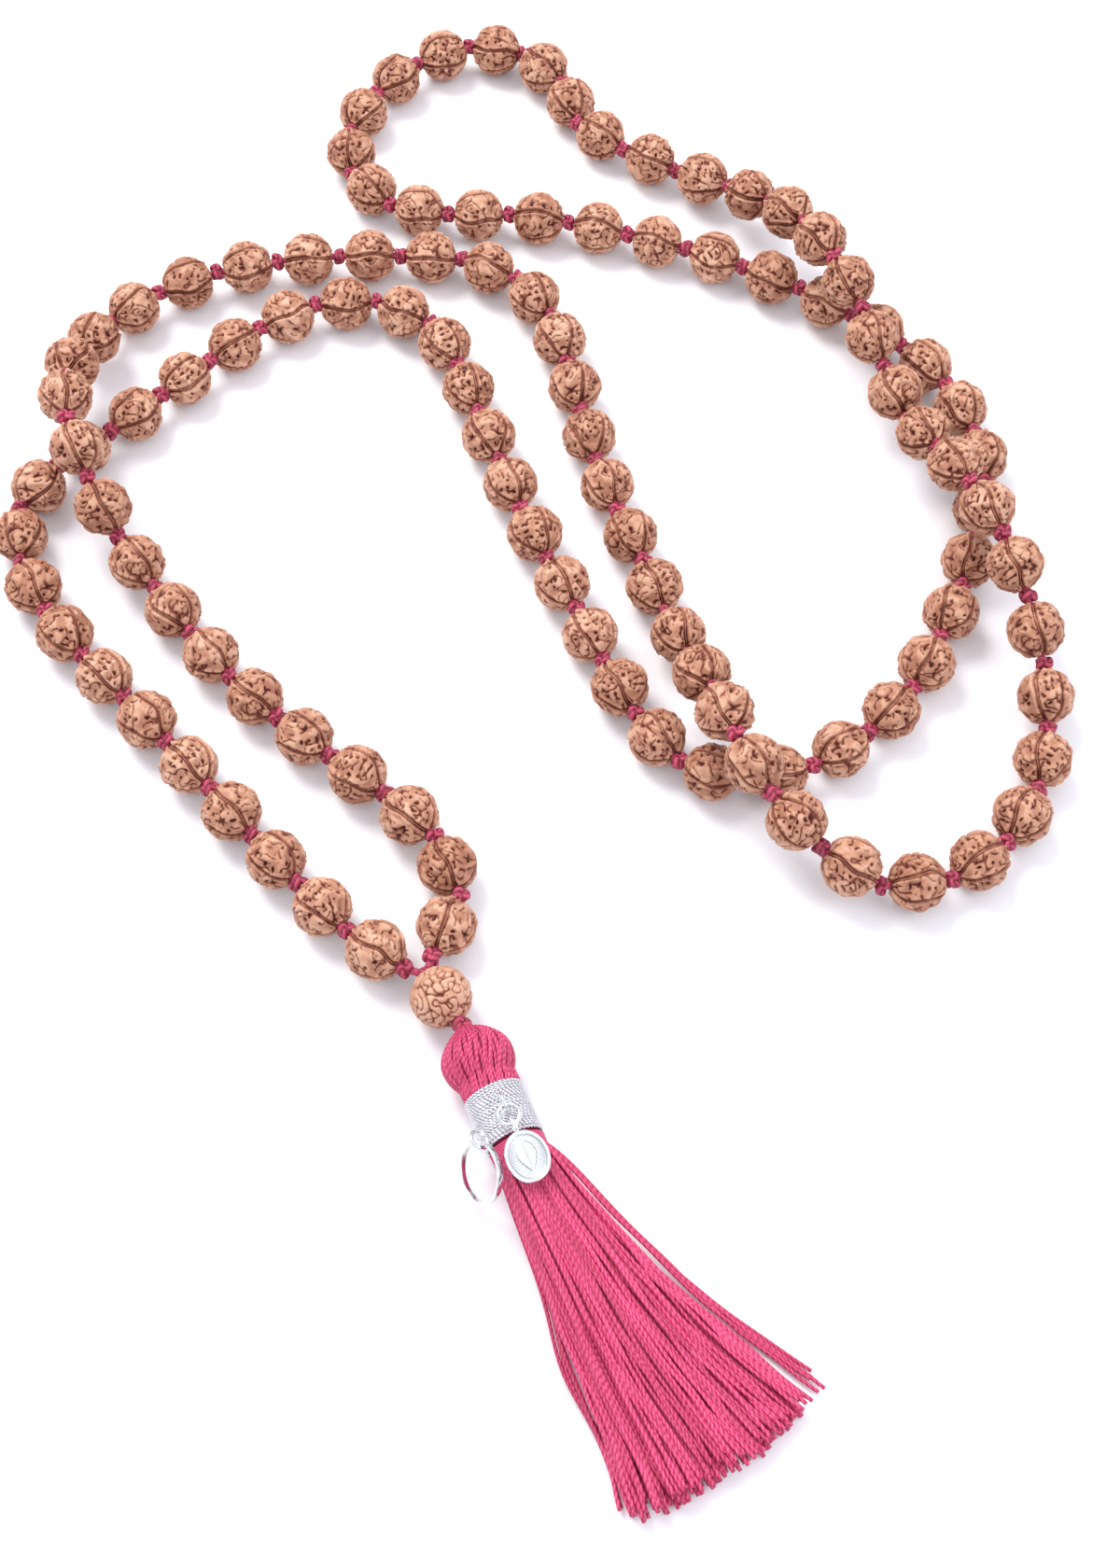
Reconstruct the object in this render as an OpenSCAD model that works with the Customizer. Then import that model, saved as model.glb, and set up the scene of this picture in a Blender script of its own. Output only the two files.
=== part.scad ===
// Knotted prayer-bead strand with a guru bead, a silk tassel and silver trim.
// Millimetres. The strand lies on the plane z = 0, with the guru bead over the origin.

/* [Beads] */
// Diameter of every bead
bead_d = 8; // [6:0.5:12]
// Free gap between two neighbouring beads
bead_gap = 1.2; // [1:0.1:2.5]
// Diameter of the cord hole through a bead
bore_d = 1.2; // [1:0.1:1.6]
// Diameter of the knots between the beads
knot_d = 2.4; // [1.8:0.1:3]

/* [Tassel] */
// Diameter of the round tassel head
head_d = 9; // [7.5:0.5:12]
// Outer diameter of the silver thread wrap
wrap_d = 7.6; // [6:0.2:8.4]
// Length of bare silk between the round head and the wrap
collar_len = 1.2; // [0:0.2:3]
// Length of the silver thread wrap
wrap_len = 7; // [5:0.5:10]
// Thickness of the silver thread wrap
wrap_wall = 0.8; // [0.6:0.1:1.2]
// Length of the crimson thread binding under the wrap
binding_len = 1.8; // [1:0.2:4]
// Thickness of the crimson thread binding
binding_wall = 0.5; // [0.3:0.1:0.7]
// Length of the tassel skirt
skirt_len = 43; // [25:1:80]
// Half of the angle over which the skirt fans out
skirt_spread = 16; // [8:1:22]
// Angle by which the skirt lies off the line of the head
skirt_turn = 9; // [-12:1:12]
// Height of the skirt at its cut end
skirt_end_h = 3.6; // [2:0.2:6]

/* [Silver trim] */
// Wire diameter of the eyelets and the jump ring
wire_d = 0.5; // [0.4:0.05:0.6]
// Mean diameter of the two eyelets on the wrap
eyelet_d = 2.2; // [2:0.1:2.6]
// Mean diameter of the jump ring between eyelet and charm
jump_ring_d = 2.5; // [2.3:0.1:4]
// Width of the oval charm
charm_w = 5.2; // [4:0.2:7]
// Length of the oval charm
charm_len = 6.4; // [5:0.2:9]
// Thickness of the charm's rim
charm_t = 0.9; // [0.7:0.1:1.4]
// Mean diameter of the plain silver hoop
hoop_d = 7.2; // [6:0.2:9]
// Width of the hoop's flat band
hoop_band = 0.7; // [0.5:0.05:0.8]
// Wall of the hoop's flat band
hoop_wall = 0.35; // [0.25:0.05:0.45]

/* [Fits] */
// Radial clearance between the cord and a bead's hole
bore_clearance = 0.1; // [0.05:0.01:0.2]
// Radial clearance between a knot and the seat that it lies in
knot_clearance = 0.08; // [0.04:0.01:0.15]
// Clearance between linked rings
link_clearance = 0.12; // [0.08:0.01:0.2]

/* [Hidden] */
SEED = "#b5754e";
CRIMSON = "#b0143c";
SILVER = "#cfd2d6";

BEADS = 108;
// Beads with a node of their own on each side of the guru bead
SINGLE = 20;
// The beads between them lie in groups of this many
GROUP = 17;

cord_d = bore_d - 2 * bore_clearance;
knot_seat_d = knot_d + 2 * knot_clearance;
bead_pitch = bead_d + bead_gap;
strand_len = BEADS * bead_pitch;

// The strand's route on the table, from the right of the guru bead round to its left
ROUTE = [
    [-1.2, 5.3], [2, 14], [-3, 24], [-13, 32], [-28, 45], [-40, 60], [-50, 75], [-54, 90],
    [-52, 104], [-43, 113], [-29, 118], [-12, 119.5], [3, 118], [12, 110], [16, 96], [20, 79],
    [27, 60], [33, 42], [38, 27], [47, 18], [58, 14.5], [69, 20], [76, 32], [77, 46], [74, 58],
    [68, 73], [62, 88], [56, 104], [49, 120], [40, 132], [26, 140], [17, 147], [14, 157],
    [4, 164], [-8, 160], [-16, 150], [-18, 138], [-9, 128.5], [8, 127.5], [25, 123.5],
    [42, 117], [58, 107], [69, 95], [73, 80], [70, 66], [65, 53], [58, 41], [46, 32],
    [33, 30.5], [24, 40], [18, 53], [9, 73], [2, 92], [-4, 106], [-16, 111], [-28, 106],
    [-40, 95], [-50, 85], [-59, 76], [-58, 63], [-50, 51], [-38, 38], [-24, 22], [-11, 8],
    [-4.4, 3.7]
];
// The first stretch of the route lies on top wherever the strand crosses itself
UPPER_SPANS = 33;
// Each crossing's x and y, and how many bead diameters away the upper stretch starts to rise
CROSSINGS = [[-53, 83, 3.2], [53.5, 110.5, 4.2], [70.5, 67, 4.2], [36.5, 30, 3.4]];
// Height of the rise at a crossing, in bead diameters
RISE = 1.15;
STEPS = 8;

function route_point(i) = ROUTE[min(max(i, 0), len(ROUTE) - 1)];

function spline(a, b, c, d, t) =
    0.5 * (2 * b + (c - a) * t + (2 * a - 5 * b + 4 * c - d) * t ^ 2
        + (3 * b - a - 3 * c + d) * t ^ 3);

FLAT = [
    for (i = [0 : len(ROUTE) - 2], k = [0 : STEPS - 1])
        spline(route_point(i - 1), route_point(i), route_point(i + 1), route_point(i + 2), k / STEPS),
    ROUTE[len(ROUTE) - 1]
];

function rise(p, size) = max([
    for (c = CROSSINGS)
        let (away = norm(p - [c.x, c.y]) * size / (c.z * bead_d))
            away < 1 ? RISE * bead_d * cos(90 * away) ^ 2 : 0
]);

// The route at a given size, lifted over itself at the crossings
function lifted(size) = [
    for (i = [0 : len(FLAT) - 1])
        let (over = i < UPPER_SPANS * STEPS ? rise(FLAT[i], size) : 0)
            [FLAT[i].x * size, FLAT[i].y * size, bead_d / 2 + over]
];

// Running length at each point of a path
function run(path) = [
    for (i = 0, s = 0; i < len(path);
        s = i + 1 < len(path) ? s + norm(path[i + 1] - path[i]) : s, i = i + 1) s
];

function last(list) = list[len(list) - 1];

// Size of the route at which it is as long as the strand
function fitted(size, tries) =
    tries == 0 ? size : fitted(size * strand_len / last(run(lifted(size))), tries - 1);

PATH = lifted(fitted(1, 4));
RUN = run(PATH);

function span_at(s, lo, hi) =
    hi - lo <= 1 ? lo
    : let (mid = floor((lo + hi) / 2)) RUN[mid] > s ? span_at(s, lo, mid) : span_at(s, mid, hi);

function point_at(s) =
    let (i = span_at(s, 0, len(PATH) - 1), t = (s - RUN[i]) / (RUN[i + 1] - RUN[i]))
        PATH[i] + (PATH[i + 1] - PATH[i]) * t;

// Knot 0 and the last knot lie beside the guru bead, and bead i lies between knots i - 1 and i
KNOTS = [for (i = [0 : BEADS]) point_at(last(RUN) * i / BEADS)];

// Guru bead: its hole runs from the strand's two ends to the tassel
GURU = [0, 0, bead_d / 2];
GURU_HEADING = -56;
GURU_OUT = [cos(GURU_HEADING), sin(GURU_HEADING), 0];
guru_cord_d = 1.8 * cord_d;
guru_bore_d = guru_cord_d + 2 * bore_clearance;
guru_mouth_d = 3.8;
guru_mouth_at = bead_d / 2 + 0.9;
guru_cord_top = bead_d / 2 - 0.4;
tie_at = bead_d / 2 + bead_gap / 2;
guru_cord_end = tie_at - knot_seat_d / 2;
// Bound place where the two cord ends meet, inside the mouth of the guru bead
JOINT = GURU - guru_cord_top * GURU_OUT;
joint_d = guru_cord_d + 0.2;
joint_inset = 0.6 * cord_d;

function direction(a, b) = (b - a) / norm(b - a);

// The cord's line: from the bound place through every knot and back to it
CORD_LINE = concat(
    [JOINT + joint_inset * direction(JOINT, KNOTS[0])],
    KNOTS,
    [JOINT + joint_inset * direction(JOINT, last(KNOTS))]
);
TUBE_SIDES = 8;

// Tassel frame: x runs from the tie knot down the tassel, y to its left, z up
TASSEL_HEADING = -66;
TIE = GURU + tie_at * GURU_OUT;
axis_z = max(head_d, wrap_d) / 2;
neck_d = wrap_d - 2 * wrap_wall;
binding_d = neck_d + 2 * binding_wall;
skirt_root_d = binding_d - 0.4;
skirt_root_len = 1;
head_x = bead_gap / 2 + head_d / 2;
collar_d = wrap_d - wrap_wall;
wrap_x = head_x + sqrt((head_d / 2) ^ 2 - (neck_d / 2) ^ 2) + collar_len;
binding_x = wrap_x + wrap_len;
skirt_x = binding_x + binding_len;
throat_d = 3.4;
shoulder_d = head_d * 0.7;
shoulder_len = head_d * 0.2;

// Eyelets stand in the wrap's wall, and what hangs on them leaves down the tassel.
// The charm's stands half-way down the wrap, and the hoop's near its lower edge.
eyelet_x = wrap_x + wrap_len / 2;
hoop_eyelet_x = binding_x - eyelet_d / 2 - 0.2;
hoop_turn = 58;
eyelet_sink = 0.4;
eyelet_rise = wrap_d / 2 - eyelet_sink + eyelet_d / 2 + wire_d / 2;
link_r = eyelet_d / 2 - wire_d - link_clearance;
// The jump ring's wire lies this far up round the inside of its eyelet
link_angle = 37;
link_x = eyelet_x + link_r * cos(link_angle);
jump_ring_x = link_x + jump_ring_d / 2;
jump_ring_z = eyelet_rise + link_r * sin(link_angle);
charm_eye_d = 1.7;
charm_eye_x = jump_ring_x + jump_ring_d / 2 + charm_eye_d / 2 - wire_d - link_clearance;
charm_x = charm_eye_d / 2 + charm_len / 2 - 0.1;
charm_tilt = 11;
charm_field = 0.3;
charm_rim = 0.5;
hoop_drop = 2.2;
hoop_x = hoop_eyelet_x + link_r / 2 + sqrt((hoop_d / 2) ^ 2 - hoop_drop ^ 2);

function pad(n) = n < 10 ? str("00", n) : n < 100 ? str("0", n) : str(n);
function bead_name(i) = str("bead_", pad(i));
function group_name(first) = str("beads_", pad(first), "_", pad(first + GROUP - 1));
SINGLES = [for (i = [1 : BEADS]) if (i <= SINGLE || i > BEADS - SINGLE) i];
GROUPS = [SINGLE + 1 : GROUP : BEADS - SINGLE - GROUP + 1];

// Stands children half-way from a to b, with their z axis along that line
module between(a, b) {
    d = b - a;
    translate((a + b) / 2)
        rotate([0, acos(d.z / norm(d)), atan2(d.y, d.x)])
            children();
}

module tassel_frame() {
    translate([TIE.x, TIE.y, 0])
        rotate([0, 0, TASSEL_HEADING])
            children();
}

// Lays children, built along z, down the tassel's axis from x
module along_tassel(x) {
    tassel_frame()
        translate([x, 0, axis_z])
            rotate([0, 90, 0])
                children();
}

// Turns children about the tassel's axis, towards its right
module turned(angle) {
    tassel_frame()
        translate([0, 0, axis_z])
            rotate([angle, 0, 0])
                children();
}

module wire_ring(mean_d, d) {
    rotate_extrude($fn = 48)
        translate([mean_d / 2, 0])
            circle(d = d, $fn = 20);
}

module eyelet_ring(x, turn) {
    turned(turn)
        translate([x, 0, eyelet_rise])
            rotate([90, 0, 0])
                wire_ring(eyelet_d, wire_d);
}

// A bead whose two hole mouths seat the knots beside it
module bead(i) {
    a = KNOTS[i - 1];
    b = KNOTS[i];
    reach = norm(b - a) / 2;
    color(SEED)
        between(a, b)
            difference() {
                sphere(d = bead_d, $fn = 48);
                cylinder(d = bore_d, h = bead_d, center = true, $fn = 24);
                for (side = [-1, 1])
                    translate([0, 0, side * reach])
                        sphere(d = knot_seat_d, $fn = 32);
            }
}

module bead_group(first) {
    for (i = [first : first + GROUP - 1])
        bead(i);
}

// Ring of points round a line's point i, in the plane that halves its bend
function tube_ring(line, i, d) =
    let (
        before = direction(line[max(i, 1) - 1], line[max(i, 1)]),
        after = direction(line[min(i, len(line) - 2)], line[min(i, len(line) - 2) + 1]),
        along = direction(-before, after),
        side = direction([0, 0, 0], cross([0, 0, 1], along)),
        up = cross(along, side),
        widened = side / (along * after)
    )
    [for (k = [0.5 : TUBE_SIDES]) line[i]
        + d / 2 * (cos(360 * k / TUBE_SIDES) * widened + sin(360 * k / TUBE_SIDES) * up)];

module tube(line, d) {
    spans = len(line) - 1;
    polyhedron(
        points = [for (i = [0 : spans]) each tube_ring(line, i, d)],
        faces = concat(
            [[for (k = [0 : TUBE_SIDES - 1]) k]],
            [for (i = [0 : spans - 1], k = [0 : TUBE_SIDES - 1])
                let (a = i * TUBE_SIDES, next = (k + 1) % TUBE_SIDES, b = a + TUBE_SIDES)
                    each [[a + k, b + k, b + next], [a + k, b + next, a + next]]],
            [[for (k = [TUBE_SIDES - 1 : -1 : 0]) spans * TUBE_SIDES + k]]
        )
    );
}

// The whole stringing cord, straight from knot to knot
module cord() {
    color(CRIMSON) tube(CORD_LINE, cord_d);
}

// The knots tied in the cord
module knots() {
    color(CRIMSON)
        for (p = KNOTS)
            translate(p) sphere(d = knot_d, $fn = 32);
}

// The cord's two ends, bound together and run through the guru bead
module cord_ends() {
    len = guru_cord_top + guru_cord_end;
    color(CRIMSON)
        between(JOINT, JOINT + len * GURU_OUT)
            union() {
                cylinder(d = guru_cord_d, h = len, center = true, $fn = 32);
                translate([0, 0, -len / 2]) sphere(d = joint_d, $fn = 48);
            }
}

module guru_bead() {
    color(SEED)
        difference() {
            translate(GURU) sphere(d = bead_d, $fn = 48);
            between(GURU - GURU_OUT, GURU + GURU_OUT)
                cylinder(d = guru_bore_d, h = bead_d, center = true, $fn = 32);
            translate(GURU - guru_mouth_at * GURU_OUT) sphere(d = guru_mouth_d, $fn = 32);
            translate(TIE) sphere(d = knot_seat_d, $fn = 32);
        }
}

module tassel_tie() {
    color(CRIMSON)
        translate(TIE) sphere(d = knot_d, $fn = 32);
}

// Folded top of the skein, with the neck that runs through the wrap and the binding
module tassel_head() {
    color(CRIMSON)
        difference() {
            union() {
                along_tassel(head_x) sphere(d = head_d, $fn = 64);
                along_tassel(bead_gap / 2)
                    cylinder(d1 = throat_d, d2 = shoulder_d, h = shoulder_len, $fn = 48);
                along_tassel(head_x) cylinder(d = collar_d, h = wrap_x - head_x, $fn = 64);
                along_tassel(head_x) cylinder(d = neck_d, h = skirt_x - head_x, $fn = 64);
            }
            translate(TIE) sphere(d = knot_seat_d, $fn = 32);
        }
}

module silver_wrap() {
    color(SILVER)
        difference() {
            along_tassel(wrap_x) cylinder(d = wrap_d, h = wrap_len, $fn = 64);
            along_tassel(wrap_x) cylinder(d = neck_d, h = wrap_len, $fn = 64);
            eyelet_ring(eyelet_x, 0);
            eyelet_ring(hoop_eyelet_x, hoop_turn);
        }
}

module thread_binding() {
    color(CRIMSON)
        difference() {
            along_tassel(binding_x) cylinder(d = binding_d, h = binding_len, $fn = 64);
            along_tassel(binding_x) cylinder(d = neck_d, h = binding_len, $fn = 64);
        }
}

// The hanging threads, fanned out and flattened on the table towards their cut ends
module tassel_skirt() {
    reach = skirt_len - skirt_end_h / 2;
    color(CRIMSON)
        hull() {
            along_tassel(skirt_x) cylinder(d = skirt_root_d, h = skirt_root_len, $fn = 32);
            tassel_frame()
                for (step = [-1 : 0.5 : 1])
                    translate([skirt_x, 0, skirt_end_h / 2])
                        rotate([0, 0, skirt_turn + step * skirt_spread])
                            translate([reach, 0, 0]) sphere(d = skirt_end_h, $fn = 20);
        }
}

module charm_eyelet() {
    color(SILVER) eyelet_ring(eyelet_x, 0);
}

module hoop_eyelet() {
    color(SILVER) eyelet_ring(hoop_eyelet_x, hoop_turn);
}

module jump_ring() {
    color(SILVER)
        turned(0)
            translate([jump_ring_x, 0, jump_ring_z])
                wire_ring(jump_ring_d, wire_d);
}

module oval(d, h) {
    scale([charm_len / charm_w, 1, 1])
        cylinder(d = d, h = h, center = true, $fn = 48);
}

// Oval medal with a raised rim on both faces and a standing eye
module charm() {
    color(SILVER)
        turned(0)
            translate([charm_eye_x, 0, jump_ring_z])
                rotate([0, charm_tilt, 0])
                    union() {
                        rotate([90, 0, 0]) wire_ring(charm_eye_d, wire_d);
                        translate([charm_x, 0, 0])
                            difference() {
                                oval(charm_w, charm_t);
                                for (side = [-1, 1])
                                    translate([0, 0, side * (charm_t - charm_field)])
                                        oval(charm_w - 2 * charm_rim, charm_t);
                            }
                    }
}

module hoop() {
    color(SILVER)
        turned(hoop_turn)
            translate([hoop_x, -hoop_drop, eyelet_rise])
                rotate_extrude($fn = 96)
                    translate([hoop_d / 2, 0])
                        square([hoop_wall, hoop_band], center = true);
}

cord();
knots();
cord_ends();
guru_bead();
tassel_tie();
tassel_head();
silver_wrap();
thread_binding();
tassel_skirt();
charm_eyelet();
hoop_eyelet();
jump_ring();
charm();
hoop();
for (i = SINGLES)
    bead(i);
for (first = GROUPS)
    bead_group(first);
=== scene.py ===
"""Prayer beads on a pale table: carved seeds on a knotted cord, with a silk tassel and silver trim."""
import math

import bpy
import numpy as np
from mathutils import Matrix, Quaternion, Vector


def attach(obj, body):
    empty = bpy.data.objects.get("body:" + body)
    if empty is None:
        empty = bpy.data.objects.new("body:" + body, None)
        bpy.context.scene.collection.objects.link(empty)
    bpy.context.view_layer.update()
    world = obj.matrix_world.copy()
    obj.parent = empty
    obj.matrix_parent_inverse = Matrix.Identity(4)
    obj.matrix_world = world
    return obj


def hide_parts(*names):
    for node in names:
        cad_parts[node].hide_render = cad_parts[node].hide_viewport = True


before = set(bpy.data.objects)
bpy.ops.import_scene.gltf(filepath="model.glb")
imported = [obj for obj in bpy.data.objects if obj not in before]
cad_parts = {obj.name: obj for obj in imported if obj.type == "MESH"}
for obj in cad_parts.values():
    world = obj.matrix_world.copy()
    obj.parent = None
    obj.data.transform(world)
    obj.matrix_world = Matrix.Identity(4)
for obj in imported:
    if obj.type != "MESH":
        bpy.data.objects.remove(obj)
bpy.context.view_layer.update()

MM = 0.001
TURN = 2 * math.pi

# ---------------------------------------------------------------- sizes, in millimetres

BEADS = 108
SINGLE = 20
GROUP = 17
BEAD_D = 8.0
BEAD_GAP = 1.2
BORE_D = 1.2
CORD_D = 1.0
KNOT_SEAT_D = 2.56

TIE_AT = BEAD_D / 2 + BEAD_GAP / 2
GURU = np.array([0.0, 0.0, BEAD_D / 2])
GURU_HEADING = math.radians(-56)
GURU_OUT = np.array([math.cos(GURU_HEADING), math.sin(GURU_HEADING), 0.0])
JOINT_DEPTH = 0.4
JOINT = GURU - (BEAD_D / 2 - JOINT_DEPTH) * GURU_OUT
JOINT_INSET = 0.6 * CORD_D

TASSEL_HEADING = math.radians(-66)
TIE = GURU + TIE_AT * GURU_OUT
AXIS_Z = 4.5
HEAD_D = 9.0
HEAD_X = BEAD_GAP / 2 + HEAD_D / 2
NECK_D = 6.0
COLLAR_R, COLLAR_LEN = 3.6, 1.2
WRAP_D, WRAP_LEN = 7.6, 7.0
WRAP_X = HEAD_X + math.sqrt((HEAD_D / 2) ** 2 - (NECK_D / 2) ** 2) + COLLAR_LEN
BINDING_D, BINDING_LEN = 7.0, 1.8
BINDING_X = WRAP_X + WRAP_LEN
SKIRT_X = BINDING_X + BINDING_LEN
SKIRT_LEN = 43.0
SKIRT_SPREAD = math.radians(16)
SKIRT_TURN = math.radians(9)
SKIRT_END_H = 3.6

WIRE_D = 0.5
EYELET_D = 2.2
JUMP_RING_D = 2.5
CHARM_EYE_D = 1.7
CHARM_W, CHARM_LEN, CHARM_T = 5.2, 6.4, 0.9
HOOP_D, HOOP_BAND, HOOP_WALL = 7.2, 0.7, 0.35

# ---------------------------------------------------------------- the strand's line

# The cord's route on the table, from the right of the guru bead round to its left
ROUTE = np.array([
    [-1.2, 5.3], [2, 14], [-3, 24], [-13, 32], [-28, 45], [-40, 60], [-50, 75], [-54, 90],
    [-52, 104], [-43, 113], [-29, 118], [-12, 119.5], [3, 118], [12, 110], [16, 96], [20, 79],
    [27, 60], [33, 42], [38, 27], [47, 18], [58, 14.5], [69, 20], [76, 32], [77, 46], [74, 58],
    [68, 73], [62, 88], [56, 104], [49, 120], [40, 132], [26, 140], [17, 147], [14, 157],
    [4, 164], [-8, 160], [-16, 150], [-18, 138], [-9, 128.5], [8, 127.5], [25, 123.5],
    [42, 117], [58, 107], [69, 95], [73, 80], [70, 66], [65, 53], [58, 41], [46, 32],
    [33, 30.5], [24, 40], [18, 53], [9, 73], [2, 92], [-4, 106], [-16, 111], [-28, 106],
    [-40, 95], [-50, 85], [-59, 76], [-58, 63], [-50, 51], [-38, 38], [-24, 22], [-11, 8],
    [-4.4, 3.7],
])
# The first spans lie over the rest where they cross: each crossing's place and its reach in beads
UPPER_SPANS = 33
CROSSINGS = [(-53, 83, 3.2), (53.5, 110.5, 4.2), (70.5, 67, 4.2), (36.5, 30, 3.4)]
RISE = 1.15
STEPS = 8


def unit(v):
    return v / np.linalg.norm(v, axis=-1, keepdims=True)


def spline(points, steps):
    """Smooth line through the points, with that many steps from one to the next."""
    padded = np.vstack([points[:1], points, points[-1:]])
    a, b, c, d = (padded[k:len(padded) - 3 + k, None] for k in range(4))
    t = (np.arange(steps) / steps)[None, :, None]
    line = 0.5 * (2 * b + (c - a) * t + (2 * a - 5 * b + 4 * c - d) * t ** 2
                  + (3 * b - a - 3 * c + d) * t ** 3)
    return np.vstack([line.reshape(-1, points.shape[1]), points[-1:]])


def run(path):
    """Running length at each point of a path."""
    return np.append(0, np.cumsum(np.linalg.norm(np.diff(path, axis=0), axis=1)))


def lifted(flat, size):
    """The route at a size, lifted over itself where its first stretch crosses the rest."""
    rise = np.zeros(len(flat))
    for x, y, reach in CROSSINGS:
        away = np.linalg.norm(flat - (x, y), axis=1) * size / (reach * BEAD_D)
        hump = RISE * BEAD_D * np.cos(np.radians(90 * away)) ** 2
        rise = np.maximum(rise, np.where(away < 1, hump, 0))
    rise[UPPER_SPANS * STEPS:] = 0
    return np.column_stack([flat * size, BEAD_D / 2 + rise])


def knot_places():
    """Knots at equal lengths along the route, which is sized to be as long as the strand."""
    flat = spline(ROUTE, STEPS)
    size = 1.0
    for _ in range(4):
        size *= BEADS * (BEAD_D + BEAD_GAP) / run(lifted(flat, size))[-1]
    path = lifted(flat, size)
    length = run(path)
    stops = np.linspace(0, length[-1], BEADS + 1)
    return np.column_stack([np.interp(stops, length, path[:, k]) for k in range(3)])


KNOTS = knot_places()
CORD_LINE = np.vstack([
    JOINT + JOINT_INSET * unit(KNOTS[0] - JOINT),
    KNOTS,
    JOINT + JOINT_INSET * unit(KNOTS[-1] - JOINT),
])

# ---------------------------------------------------------------- camera, light and floor

CAMERA_AT = (14.5, -110.3, 247)
CAMERA_TILT = math.radians(30)
CAMERA_SENSOR, CAMERA_LENS = 36, 50

# Each softbox's place and width in metres, its power in watts and its colour
SOFTBOXES = {
    "key": ((-0.35, 0.45, 0.75), 0.5, 6.0, (1.0, 0.98, 0.96)),
    "fill": ((0.55, -0.25, 0.6), 0.6, 2.0, (0.93, 0.95, 1.0)),
}
LIT_POINT = (0.01, 0.05, 0)
WORLD_STRENGTH = 1.15
HORIZON, HORIZON_COLOUR = 0.22, (0.16, 0.17, 0.20, 1)
SKY, SKY_COLOUR = 0.42, (0.92, 0.95, 1.0, 1)
FLOOR_HALF = 3.0
FLOOR_COLOUR = (0.93, 0.93, 0.96, 1)


def add_camera():
    """A normal lens looking down at the strand from over the tassel."""
    data = bpy.data.cameras.new("camera")
    data.sensor_width = CAMERA_SENSOR
    data.lens = CAMERA_LENS
    camera = bpy.data.objects.new("camera", data)
    camera.location = [at * MM for at in CAMERA_AT]
    camera.rotation_euler = (CAMERA_TILT, 0, 0)
    bpy.context.scene.collection.objects.link(camera)
    bpy.context.scene.camera = camera


def add_softbox(name, place, size, power, colour):
    data = bpy.data.lights.new(name, "AREA")
    data.shape = "DISK"
    data.size = size
    data.energy = power
    data.color = colour
    light = bpy.data.objects.new(name, data)
    light.location = place
    light.rotation_mode = "QUATERNION"
    light.rotation_quaternion = (Vector(LIT_POINT) - Vector(place)).to_track_quat("-Z", "Y")
    bpy.context.scene.collection.objects.link(light)


def studio_world():
    """White all round, with a dim band at the horizon that gives polished metal its dark edges."""
    world = bpy.data.worlds.new("studio")
    world.use_nodes = True
    nodes, link = world.node_tree.nodes, world.node_tree.links.new
    coords = nodes.new("ShaderNodeTexCoord")
    split = nodes.new("ShaderNodeSeparateXYZ")
    band = nodes.new("ShaderNodeValToRGB")
    band.color_ramp.elements[0].position = HORIZON
    band.color_ramp.elements[0].color = HORIZON_COLOUR
    band.color_ramp.elements[1].position = SKY
    band.color_ramp.elements[1].color = SKY_COLOUR
    link(coords.outputs["Generated"], split.inputs[0])
    link(split.outputs["Z"], band.inputs["Fac"])
    link(band.outputs["Color"], nodes["Background"].inputs["Color"])
    nodes["Background"].inputs["Strength"].default_value = WORLD_STRENGTH
    return world


def add_lights():
    bpy.context.scene.view_settings.view_transform = "Standard"
    bpy.context.scene.world = studio_world()
    for name, (place, size, power, colour) in SOFTBOXES.items():
        add_softbox(name, place, size, power, colour)


def add_floor():
    half = FLOOR_HALF
    mesh = bpy.data.meshes.new("floor")
    mesh.from_pydata([(-half, -half, 0), (half, -half, 0), (half, half, 0), (-half, half, 0)],
                     [], [(0, 1, 2, 3)])
    floor = bpy.data.objects.new("floor", mesh)
    bpy.context.scene.collection.objects.link(floor)
    material = bpy.data.materials.new("floor")
    material.use_nodes = True
    shader = material.node_tree.nodes["Principled BSDF"]
    shader.inputs["Base Color"].default_value = FLOOR_COLOUR
    shader.inputs["Roughness"].default_value = 0.55
    shader.inputs["Specular IOR Level"].default_value = 0.2
    mesh.materials.append(material)


add_camera()
add_lights()
add_floor()

# ---------------------------------------------------------------- materials


def effect_group(name, **inputs):
    """A node group with numbers to take in, and a value and a normal to put out."""
    group = bpy.data.node_groups.new(name, "ShaderNodeTree")
    for key, value in inputs.items():
        socket = group.interface.new_socket(key, in_out="INPUT", socket_type="NodeSocketFloat")
        socket.default_value = value
    group.interface.new_socket("Value", in_out="OUTPUT", socket_type="NodeSocketFloat")
    group.interface.new_socket("Normal", in_out="OUTPUT", socket_type="NodeSocketVector")
    return group, group.nodes.new("NodeGroupInput"), group.nodes.new("NodeGroupOutput")


def grain_group():
    """Shared node group: fine grain, as a value and as a bumped normal."""
    group, source, sink = effect_group("fine_grain", Scale=1000.0, Depth=0.5)
    nodes, link = group.nodes, group.links.new
    coords = nodes.new("ShaderNodeTexCoord")
    noise = nodes.new("ShaderNodeTexNoise")
    noise.inputs["Detail"].default_value = 5
    noise.inputs["Roughness"].default_value = 0.65
    bump = nodes.new("ShaderNodeBump")
    bump.inputs["Distance"].default_value = 0.1 * MM
    link(coords.outputs["Object"], noise.inputs["Vector"])
    link(source.outputs["Scale"], noise.inputs["Scale"])
    link(source.outputs["Depth"], bump.inputs["Strength"])
    link(noise.outputs["Fac"], bump.inputs["Height"])
    link(noise.outputs["Fac"], sink.inputs["Value"])
    link(bump.outputs["Normal"], sink.inputs["Normal"])
    return group


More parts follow.
